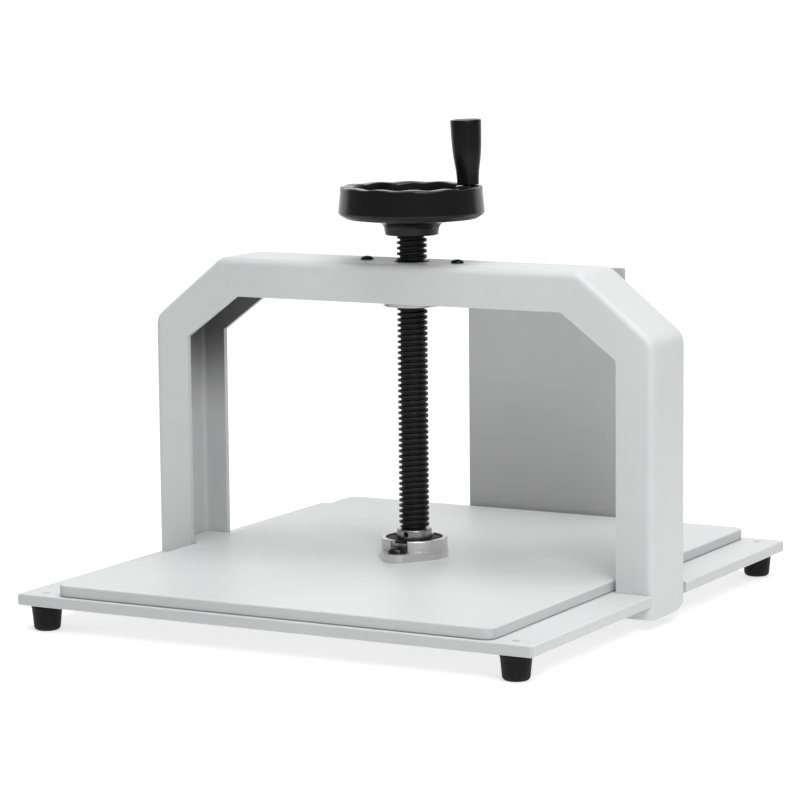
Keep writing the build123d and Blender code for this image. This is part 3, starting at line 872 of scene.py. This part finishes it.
@dataclass
class LeadScrew(SubAssembly):
    """Trapezoidal screw with its journal below and its wheel seat above."""

    outer_r: float = 11.0
    root_r: float = 8.75
    pitch: float = 4.0
    crest: float = 1.45
    root: float = 1.25
    crest_ease: float = 0.12
    crest_drop: float = 0.18
    low: float = 54.4
    high: float = 269.2
    journal_r: float = 8.5
    journal_low: float = 31.2
    seat_r: float = 8.0
    seat_high: float = 293.0
    end_edge: float = 0.5
    fade: float = 2.2
    steps: int = 40

    def thread_points(self) -> Outline:
        """Draws one pitch of the thread, with flanks between root and crest.

        Returns:
            (height, radius) points from root to root.
        """
        ease, shoulder = self.crest_ease, self.outer_r - self.crest_drop
        start = self.root + (self.pitch - self.crest - self.root) / 2
        end = start + self.crest
        return [
            (0.0, self.root_r), (self.root, self.root_r),
            (start - ease, shoulder), (start + ease, self.outer_r),
            (end - ease, self.outer_r), (end + ease, shoulder),
            (self.pitch, self.root_r),
        ]

    def build(self) -> None:
        """Makes the whole screw as one piece, its thread fading into the root at both ends."""
        piece = Piece("threaded_screw")
        place = Upright()
        points = self.thread_points()
        turns = math.ceil((self.high - self.low) / self.pitch) + 2
        rows = []
        for j in range(turns * self.steps + 1):
            angle = 2 * math.pi * j / self.steps
            rise = self.low - self.pitch + self.pitch * j / self.steps
            row = []
            for dz, r in points:
                z = min(self.high, max(self.low, rise + dz))
                share = max(0.0, min(1.0, min(z - self.low, self.high - z) / self.fade))
                row.append(place(self.root_r + (r - self.root_r) * share, z, angle))
            rows.append(piece.ring(row))
        piece.skin(rows, Ends.OPEN, across=False)
        piece.lathe([
            Corner(NEAR_AXIS, self.journal_low),
            Corner(self.journal_r, self.journal_low, self.end_edge),
            Corner(self.journal_r, self.low), Corner(self.root_r, self.low),
            Corner(NEAR_AXIS, self.low),
        ], place)
        piece.lathe([
            Corner(NEAR_AXIS, self.high), Corner(self.root_r, self.high),
            Corner(self.seat_r, self.high), Corner(self.seat_r, self.seat_high, self.end_edge),
            Corner(NEAR_AXIS, self.seat_high),
        ], place)
        finish = self.palette.made["blackened_steel"]
        piece.done(Body.SCREW, finish, "blackened_steel", ["lead_screw"], 28.0)


@dataclass
class Collar(SubAssembly):
    """Ground collar on the screw's journal, cross-drilled for its locking screw."""

    low: float = 44.2
    high: float = 54.4
    outer_r: float = 12.8
    bore_r: float = 8.51
    edge_r: float = 1.2
    hole_r: float = 2.02
    hole_z: float = 51.35

    def build(self) -> None:
        """Makes the collar and drills it."""
        ring = Piece("ground_collar")
        ring.lathe([
            Corner(self.bore_r, self.low, 0.2), Corner(self.outer_r, self.low, 0.4),
            Corner(self.outer_r, self.high, self.edge_r), Corner(self.bore_r, self.high, 0.3),
        ], Upright(), 128, Ends.JOINED)
        ring.drill((0.0, AXIS_Y - self.outer_r, self.hole_z), self.hole_r, self.outer_r)
        ring.done(Body.SCREW, self.palette.made["ground_steel"], "bare_steel", ["journal_collar"])


@dataclass
class Handwheel(SubAssembly):
    """Dished wheel with a rippled rim, and the boss that carries its handle."""

    rim_r: float = 53.0
    rim_top_r: float = 51.5
    rim_inner_r: float = 42.0
    rim_face: float = 304.5
    rim_band: float = 4.5
    rim_edge: float = 1.8
    rim_draft: float = 0.3
    face_half: float = 2.0
    widest: float = 284.7
    rim_low_r: float = 48.0
    rim_low: float = 281.3
    web_low: float = 278.6
    web_low_r: float = 26.0
    web_t: float = 7.0
    web_draft: float = 1.0
    hub_low: float = 269.2
    hub_up: float = 294.0
    hub_low_r: float = 19.3
    hub_up_r: float = 20.3
    hub_boss_r: float = 17.0
    bore_r: float = 13.01
    bend: float = 3.0
    throat_bend: float = 6.0
    ripples: int = 12
    ripple_out: float = 0.6
    ripple_in: float = 0.9
    ripple_low: float = 4.6
    ripple_rise: float = 2.6
    ripple_power: float = 1.15
    handle: OnRim = OnRim()
    boss_r: float = 9.0
    boss_rise: float = 4.0
    boss_edge: float = 0.7
    recess_r: float = 5.6
    segments: int = 360

    def rippled(self, r: float, z: float, angle: float) -> Point:
        """Places a point of the wheel, with the finger ripples taken off its rim.

        Args:
            r: Its radius from the wheel's axis.
            z: Its height before the ripples.
            angle: Its angle about the axis.

        Returns:
            The point, in millimetres.
        """
        weight = min(1.0, max(0.0, (z - (self.rim_face - self.ripple_low)) / self.ripple_rise))
        across = (r - self.rim_inner_r) / (self.rim_top_r - self.rim_inner_r)
        depth = self.ripple_in + (self.ripple_out - self.ripple_in) * min(1.0, max(0.0, across))
        wave = 0.5 - 0.5 * math.cos(self.ripples * (angle - self.handle.turn))
        return Upright()(r, z - weight * depth * wave ** self.ripple_power, angle)

    def build(self) -> None:
        """Makes the wheel with its boss."""
        rise = (self.rim_low - self.web_low) / (self.rim_low_r - self.web_low_r)
        web_in = self.web_low + self.web_t
        web_out = web_in + rise * (self.rim_inner_r - self.hub_boss_r)
        throat = self.web_low - rise * (self.web_low_r - self.hub_up_r)
        middle_r = (self.rim_top_r + self.rim_inner_r) / 2
        band = self.rim_face - self.rim_band
        section = [
            Corner(self.bore_r, self.hub_low, 0.4), Corner(self.hub_low_r, self.hub_low, 1.0),
            Corner(self.hub_up_r, throat, self.throat_bend),
            Corner(self.rim_low_r, self.rim_low, self.bend), Corner(self.rim_r, self.widest, self.bend),
            Corner(self.rim_top_r, band), Corner(self.rim_top_r, self.rim_face, self.rim_edge),
            Corner(middle_r + self.face_half, self.rim_face),
            Corner(middle_r - self.face_half, self.rim_face),
            Corner(self.rim_inner_r, self.rim_face, self.rim_edge),
            Corner(self.rim_inner_r - self.rim_draft, band),
            Corner(self.rim_inner_r - self.web_draft, web_out, self.bend),
            Corner(self.hub_boss_r + self.web_draft, web_in, self.bend),
            Corner(self.hub_boss_r, self.hub_up, 0.6), Corner(self.bore_r, self.hub_up, 0.3),
        ]
        piece = Piece("rippled_handwheel")
        piece.lathe(section, self.rippled, self.segments, Ends.JOINED)
        low, top = self.rim_low + self.boss_rise, self.rim_face - self.ripple_out
        x = self.handle.orbit * math.cos(self.handle.turn)
        y = AXIS_Y + self.handle.orbit * math.sin(self.handle.turn)
        piece.lathe([
            Corner(NEAR_AXIS, low), Corner(self.boss_r, low),
            Corner(self.boss_r, top, self.boss_edge), Corner(self.recess_r, top, 0.2),
            Corner(NEAR_AXIS, top),
        ], Upright(x, y))
        finish = self.palette.made["black_phenolic"]
        piece.done(Body.SCREW, finish, "black_phenolic", ["handwheel"], 40.0)


@dataclass
class Handle(SubAssembly):
    """Tapered sleeve that spins on the rim's spindle, and the cap in its top."""

    low: float = 304.8
    height: float = 46.8
    bore_r: float = 4.3
    foot_r: float = 7.9
    # Heights above the foot and the radii there.
    radii: tuple = ((4.0, 7.98), (10.0, 8.42), (17.0, 9.5), (22.0, 10.12), (27.0, 10.55),
                    (34.0, 10.85), (41.0, 11.07))
    top_r: float = 11.2
    mouth: float = 0.9
    lip: float = 0.6
    lip_gap: float = 0.25
    seat: float = 2.2
    cap_r: float = 7.5
    cap_t: float = 2.0
    cap_sunk: float = 0.25
    dome_r: float = 4.0
    dome_sunk: float = 0.12
    top_sunk: float = 0.1

    def build(self) -> None:
        """Makes the sleeve and its cap."""
        up = self.low + self.height
        sleeve = Piece("handle_sleeve")
        sleeve.lathe([
            Corner(self.bore_r, self.low), Corner(self.foot_r, self.low, 0.5),
            *(Corner(r, self.low + z) for z, r in self.radii),
            Corner(self.top_r, up, 1.0), Corner(self.cap_r + self.mouth, up, 0.3),
            Corner(self.cap_r + self.lip_gap, up - self.lip), Corner(self.cap_r, up - self.lip),
            Corner(self.bore_r, up - self.seat),
        ], OnRim(), 96, Ends.JOINED)
        cap = Piece("handle_cap")
        cap.lathe([
            Corner(NEAR_AXIS, up - self.cap_t), Corner(self.cap_r, up - self.cap_t),
            Corner(self.cap_r, up - self.cap_sunk, 0.5), Corner(self.dome_r, up - self.dome_sunk),
            Corner(NEAR_AXIS, up - self.top_sunk),
        ], OnRim(), 96)
        finish = self.palette.made["grip_moulding"]
        sleeve.done(Body.GRIP, finish, "black_phenolic", ["handle_grip"], 30.0)
        cap.done(Body.GRIP, finish, "black_phenolic", ["grip_cap"], 30.0)


@dataclass
class Feet(SubAssembly):
    """Four tapered rubber feet with a moulded lip and a pocket below."""

    x: float = 185.0
    y: float = 203.0
    height: float = 18.0
    top_r: float = 11.0
    low_r: float = 9.2
    lip_h: float = 2.0
    lip_slope: float = 0.6
    lip_out: float = 0.32
    bore_r: float = 2.52
    pocket_r: float = 4.8
    pocket_h: float = 7.0

    def build(self) -> None:
        """Makes the four feet."""
        lip = self.height - self.lip_h
        corners = [
            Corner(self.pocket_r, 0.0, 0.4), Corner(self.low_r, 0.0, 3.0),
            Corner(self.top_r - self.lip_out, lip - self.lip_slope, 0.4), Corner(self.top_r, lip, 0.3),
            Corner(self.top_r, self.height, 0.5), Corner(self.bore_r, self.height),
            Corner(self.bore_r, self.pocket_h), Corner(self.pocket_r, self.pocket_h),
        ]
        rubber = self.palette.made["foot_rubber"]
        for end, sy in (("front", -1), ("rear", 1)):
            for side, sx in (("left", -1), ("right", 1)):
                piece = Piece(f"rubber_foot_{end}_{side}")
                place = Upright(sx * self.x, AXIS_Y + sy * self.y)
                piece.lathe(corners, place, 64, Ends.JOINED)
                piece.done(Body.FRAME, rubber, "foot_rubber", [f"foot_{end}_{side}"])


@dataclass(frozen=True)
class ButtonScrew:
    """Domed screw with a hexagon socket, along any direction."""

    head_r: float
    head_h: float
    shank_r: float
    length: float
    socket_r: float
    sides: int = 48
    dome_steps: int = 9
    rim_share: float = 0.2
    socket_share: float = 0.62
    land_scale: float = 1.12
    lip_scale: float = 1.06
    wall_scale: float = 0.98
    foot_gap: float = 0.15
    lip_h: float = 0.12
    lip_drop: float = 0.15
    least_floor: float = 0.3

    def radius(self, scale: float, angle: float) -> float:
        """The radius at an angle of a hexagon with the socket's corners, scaled."""
        flat = self.socket_r * scale * math.cos(math.pi / 6)
        return flat / math.cos(angle % (math.pi / 3) - math.pi / 6)

    def add_to(self, piece: Piece, seat: Point, out: Point = (0, 0, 1)) -> None:
        """Adds the screw's faces to a piece, in rings from the shank's end to the socket's floor.

        Args:
            piece: The piece.
            seat: Where the head's underside sits, in millimetres.
            out: The direction that the head faces.
        """
        # Each ring's radius, its hexagon's scale (zero where it's round) and its height.
        rings = [(self.shank_r, 0, -self.length), (self.shank_r, 0, 0)]
        rings.append((self.head_r - self.foot_gap, 0, 0))
        rim = self.head_h * self.rim_share
        for k in range(self.dome_steps):
            t = math.pi / 2 * k / self.dome_steps
            r = self.head_r * math.cos(t)
            if r > self.socket_r * self.land_scale:
                rings.append((r, 0, rim + (self.head_h - rim) * math.sin(t)))
        top = rings[-1][2]
        floor = max(self.least_floor, top - self.head_h * self.socket_share)
        rings.append((0, self.lip_scale, top + self.lip_h))
        rings += [(0, self.wall_scale, z) for z in (top - self.lip_drop, floor)]
        turn = Vector((0, 0, 1)).rotation_difference(Vector(out)).to_matrix()
        rows = []
        for r, scale, z in rings:
            points = []
            for k in range(self.sides):
                angle = 2 * math.pi * k / self.sides
                reach = self.radius(scale, angle) if scale else r
                flat = Vector((reach * math.cos(angle), reach * math.sin(angle), z))
                points.append(Vector(seat) + turn @ flat)
            rows.append(piece.ring(points))
        piece.skin(rows, Ends.CAPPED)


@dataclass
class Fasteners(SubAssembly):
    """The screws that show: on the bearing housing, the beam, the back panel and the wheel."""

    ear_y: float = 26.0
    ear_seat: float = 40.5
    beam_top: float = 249.8
    nut_screw_x: float = 37.0
    panel_pitch: float = 50.0
    panel_face: float = 218.0
    panel_z: float = 22.0
    wheel_seat: float = 296.0
    # Each screw's head radius and height, shank radius and length, and socket radius.
    ear_screw: ButtonScrew = ButtonScrew(7.0, 4.4, 4.0, 12.8, 2.89)
    beam_screw: ButtonScrew = ButtonScrew(4.75, 2.8, 2.5, 18.0, 1.73)
    rear_screw: ButtonScrew = ButtonScrew(3.8, 2.2, 2.0, 14.0, 1.44)
    hub_screw: ButtonScrew = ButtonScrew(6.5, 4.4, 4.0, 18.0, 2.89)

    def build(self) -> None:
        """Makes each group of screws."""
        finishes = ("zinc_steel", "blackened_steel", "oiled_steel")
        zinc, black, oiled = (self.palette.made[name] for name in finishes)
        ears, beam = Piece("ear_screws"), Piece("beam_screws")
        rear, hub = Piece("rear_screws"), Piece("hub_screw")
        for y in (-self.ear_y, self.ear_y):
            self.ear_screw.add_to(ears, (0.0, AXIS_Y + y, self.ear_seat))
        for x in (-self.nut_screw_x, self.nut_screw_x):
            self.beam_screw.add_to(beam, (x, AXIS_Y, self.beam_top))
        for x in (-self.panel_pitch, 0.0, self.panel_pitch):
            self.rear_screw.add_to(rear, (x, self.panel_face + AXIS_Y, self.panel_z), (0, 1, 0))
        self.hub_screw.add_to(hub, (0, AXIS_Y, self.wheel_seat))
        ears.done(Body.PLATEN, oiled, "blackened_steel", ["housing_screws"])
        beam.done(Body.FRAME, black, "blackened_steel", ["nut_screws"])
        rear.done(Body.FRAME, zinc, "zinc_steel", ["panel_screws"])
        hub.done(Body.SCREW, zinc, "zinc_steel", ["wheel_screw"])


# Studio


@dataclass(frozen=True)
class Softbox:
    """One square area light that looks at a point."""

    name: str
    place: Point
    target: Point
    size: float
    watts: float

    def build(self) -> None:
        """Adds the light."""
        lamp = bpy.data.lights.new(self.name, "AREA")
        lamp.shape = "SQUARE"
        lamp.size = self.size
        lamp.energy = self.watts
        item = bpy.data.objects.new(self.name, lamp)
        item.location = self.place
        aim = Vector(self.target) - Vector(self.place)
        item.rotation_mode = "QUATERNION"
        item.rotation_quaternion = aim.to_track_quat("-Z", "Y")
        bpy.context.scene.collection.objects.link(item)
        LOG.info("%s: %.0f W", self.name, self.watts)


@dataclass
class Studio:
    """Pale floor, soft lights, bright surround, and the camera."""

    azimuth: float = 28.717
    elevation: float = 7.7755
    roll: float = -0.5347
    distance: float = 2.43533
    aim: Point = (-0.010892, -0.0026, 0.148013)
    focal_px: float = 3346.09
    image_px: float = 800.0
    dim: float = 0.28
    bright: float = 1.12
    sweep_from: float = 60.0
    sweep_to: float = 54.0
    sweep_top: float = 0.8
    sweep_low: float = 0.5
    floor_r: float = 9.0
    lights: tuple = (
        Softbox("top_light", place=(0.35, -0.2, 3.8), target=(0, 0, 0.1), size=3.0, watts=117.0),
        Softbox("fill_light", place=(0.95, -0.95, 1.07), target=(0, 0, 0.15), size=0.6, watts=12.4),
    )

    def camera(self) -> None:
        """Places the camera at the photograph's angle."""
        az, el, roll = (math.radians(v) for v in (self.azimuth, self.elevation, self.roll))
        back = Vector((math.sin(az) * math.cos(el), -math.cos(az) * math.cos(el), math.sin(el)))
        right = (-back).cross(Vector((0, 0, 1))).normalized()
        up = right.cross(-back)
        turned_right = right * math.cos(roll) + up * math.sin(roll)
        turned_up = up * math.cos(roll) - right * math.sin(roll)
        data = bpy.data.cameras.new("camera")
        data.sensor_width = 36.0
        data.lens = self.focal_px / self.image_px * data.sensor_width
        data.clip_start = 0.1
        data.clip_end = 100.0
        item = bpy.data.objects.new("camera", data)
        axes = Matrix((turned_right, turned_up, back)).transposed().to_4x4()
        item.matrix_world = Matrix.Translation(Vector(self.aim) + back * self.distance) @ axes
        bpy.context.scene.collection.objects.link(item)
        bpy.context.scene.camera = item

    def floor(self) -> None:
        """Lays the round pale floor."""
        bm = bmesh.new()
        bmesh.ops.create_circle(bm, cap_ends=True, segments=96, radius=self.floor_r)
        item = to_object(bm, "floor")
        item.data.materials.append(StudioFloor().material())

    def surroundings(self) -> None:
        """Fills the surround: a white sweep behind the press and a dimmer room elsewhere."""
        world = bpy.data.worlds.new("studio")
        world.use_nodes = True
        tree = Tree(world.node_tree, "Generated")
        x, y, z = tree.xyz()
        turn = math.radians(self.azimuth)
        facing = (y * math.cos(turn) - x * math.sin(turn)) / ((x ** 2 + y ** 2) ** 0.5)
        wide, narrow = (math.cos(math.radians(v)) for v in (self.sweep_from, self.sweep_to))
        sweep = facing.between(wide, narrow) * z.between(self.sweep_top, self.sweep_low)
        back = world.node_tree.nodes["Background"]
        tree.feed(back.inputs["Strength"], sweep * (self.bright - self.dim) + self.dim)
        tree.feed(back.inputs["Color"], (1.0, 1.0, 1.0))
        bpy.context.scene.world = world
        bpy.context.scene.view_settings.view_transform = "Standard"

    def build(self) -> None:
        """Sets up everything that isn't part of the press."""
        self.camera()
        self.floor()
        self.surroundings()
        for light in self.lights:
            light.build()


def main() -> None:
    """Builds the press's looks in order."""
    logging.basicConfig(level=logging.INFO, format="%(name)s %(message)s")
    Studio().build()
    palette = Palette()
    palette.dress_frame()
    for kind in (LeadScrew, Collar, Handwheel, Handle, Feet, Fasteners):
        kind(palette).build()


if __name__ == "__main__":
    main()
